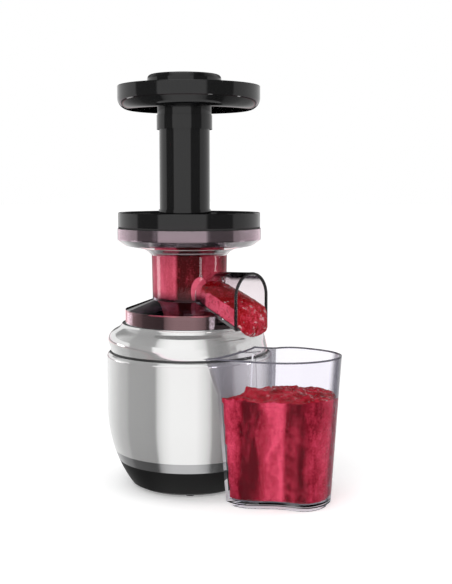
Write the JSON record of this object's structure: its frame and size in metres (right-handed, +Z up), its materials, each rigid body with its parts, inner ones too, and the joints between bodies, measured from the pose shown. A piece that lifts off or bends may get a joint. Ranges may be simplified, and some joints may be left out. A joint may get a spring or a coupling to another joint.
{
  "type": "cold press juicer",
  "caption": "Upright slow juicer: rounded silver motor base, smoky bowl with a front spout, black lid, feed tube and tray, and a clear kidney-shaped jug of crimson puree.",
  "frame": {"origin": "centre of the bottom cover's flat underside, on the main axis", "axes": "+Z up along the auger's axis, -Y out of the spout, +Y towards the rocker switch"},
  "size_m": [0.1664, 0.25, 0.4098],
  "materials": {
    "silver_paint": "satin silver",
    "band_metal": "satin, darker",
    "black_base": "satin black",
    "rubber_black": "matte",
    "switch_face": "gloss",
    "steel": "machined",
    "laminations": "pressed sheet",
    "copper": "enamelled wire",
    "zinc_casting": "die cast",
    "fan_plastic": "moulded",
    "capacitor_case": "moulded",
    "gear_plastic": "moulded",
    "smoke_clear": "clear, smoky",
    "bush_plastic": "moulded",
    "magnet": "bare",
    "auger_plastic": "moulded",
    "black_gloss": "high gloss",
    "jug_clear": "clear",
    "puree": "wet"
  },
  "bodies": {
    "stand": {"bottom_cover": "black_base", "feet": "rubber_black", "base_tray": "black_base", "trim_band": "band_metal", "housing_body": "silver_paint", "housing_shoulder": "silver_paint", "deck_plate": "black_base", "cover_screws": "steel", "motor_bracket_lower": "zinc_casting", "motor_bracket_upper": "zinc_casting", "motor_stator": "laminations", "motor_windings": "copper", "motor_bearings": "steel", "run_capacitor": "capacitor_case", "gearbox_housing": "zinc_casting", "gearbox_cover": "zinc_casting", "gearbox_screws": "steel", "layshaft_bearings": "steel", "output_bearing": "steel", "drive_seal": "rubber_black", "switch_bezel": "black_base", "cord_gland": "black_base", "bowl_sensor": "capacitor_case"},
    "rotor": {"rotor_core": "laminations", "rotor_shaft": "steel", "cooling_fan": "fan_plastic"},
    "layshaft_set": {"layshaft": "steel", "layshaft_gear": "gear_plastic"},
    "drive": {"output_gear": "gear_plastic", "drive_shaft": "steel"},
    "rocker": {"switch_rocker": "switch_face"},
    "bowl_set": {"bowl": "smoke_clear", "bowl_bush": "bush_plastic", "bowl_seal": "rubber_black", "bowl_magnet": "magnet", "pulp_packing": "rubber_black", "strainer_frame": "bush_plastic", "strainer_mesh": "steel", "puree_in_bowl": "puree", "puree_strand": "puree"},
    "auger_set": {"auger": "auger_plastic", "auger_socket": "steel"},
    "lid_set": {"lid": "black_gloss", "lid_seal": "rubber_black", "feed_tube": "black_gloss"},
    "tray_set": {"tray": "black_gloss"},
    "pusher": {"pusher_cap": "black_gloss", "pusher_stem": "black_gloss", "pusher_tip": "black_gloss"},
    "jug_set": {"jug": "jug_clear", "puree_in_jug": "puree"}
  },
  "joints": [
    {"name": "rotor_spin", "type": "hinge", "parent": "stand", "child": "rotor", "pos_m": [0, 0, 0.05], "axis": [0, 0, 1], "continuous": true},
    {"name": "layshaft_spin", "type": "hinge", "parent": "stand", "child": "layshaft_set", "pos_m": [0.036, 0, 0.1], "axis": [0, 0, 1], "continuous": true},
    {"name": "drive_spin", "type": "hinge", "parent": "stand", "child": "drive", "pos_m": [0, 0, 0.15], "axis": [0, 0, 1], "continuous": true},
    {"name": "switch_rock", "type": "hinge", "parent": "stand", "child": "rocker", "pos_m": [0, 0.0796, 0.092], "axis": [1, 0, 0], "range_deg": [-10, 10]},
    {"name": "bowl_lift", "type": "slide", "parent": "stand", "child": "bowl_set", "axis": [0, 0, 1], "range_m": [0, 0.06]},
    {"name": "auger_spin", "type": "hinge", "parent": "bowl_set", "child": "auger_set", "pos_m": [0, 0, 0.2], "axis": [0, 0, 1], "continuous": true},
    {"name": "lid_turn", "type": "hinge", "parent": "bowl_set", "child": "lid_set", "pos_m": [0, 0, 0.265], "axis": [0, 0, 1], "range_deg": [0, 30]},
    {"name": "tray_lift", "type": "slide", "parent": "lid_set", "child": "tray_set", "axis": [0, 0, 1], "range_m": [0, 0.03]},
    {"name": "pusher_slide", "type": "slide", "parent": "tray_set", "child": "pusher", "axis": [0, 0, 1], "range_m": [0, 0.13]},
    {"name": "jug_slide", "type": "slide", "parent": "stand", "child": "jug_set", "axis": [0, -1, 0], "range_m": [0, 0.12]}
  ],
  "couplings": [
    {"joint": "layshaft_spin", "follows": "rotor_spin", "ratio": -0.2},
    {"joint": "drive_spin", "follows": "rotor_spin", "ratio": 0.052632},
    {"joint": "auger_spin", "follows": "rotor_spin", "ratio": 0.052632}
  ]
}
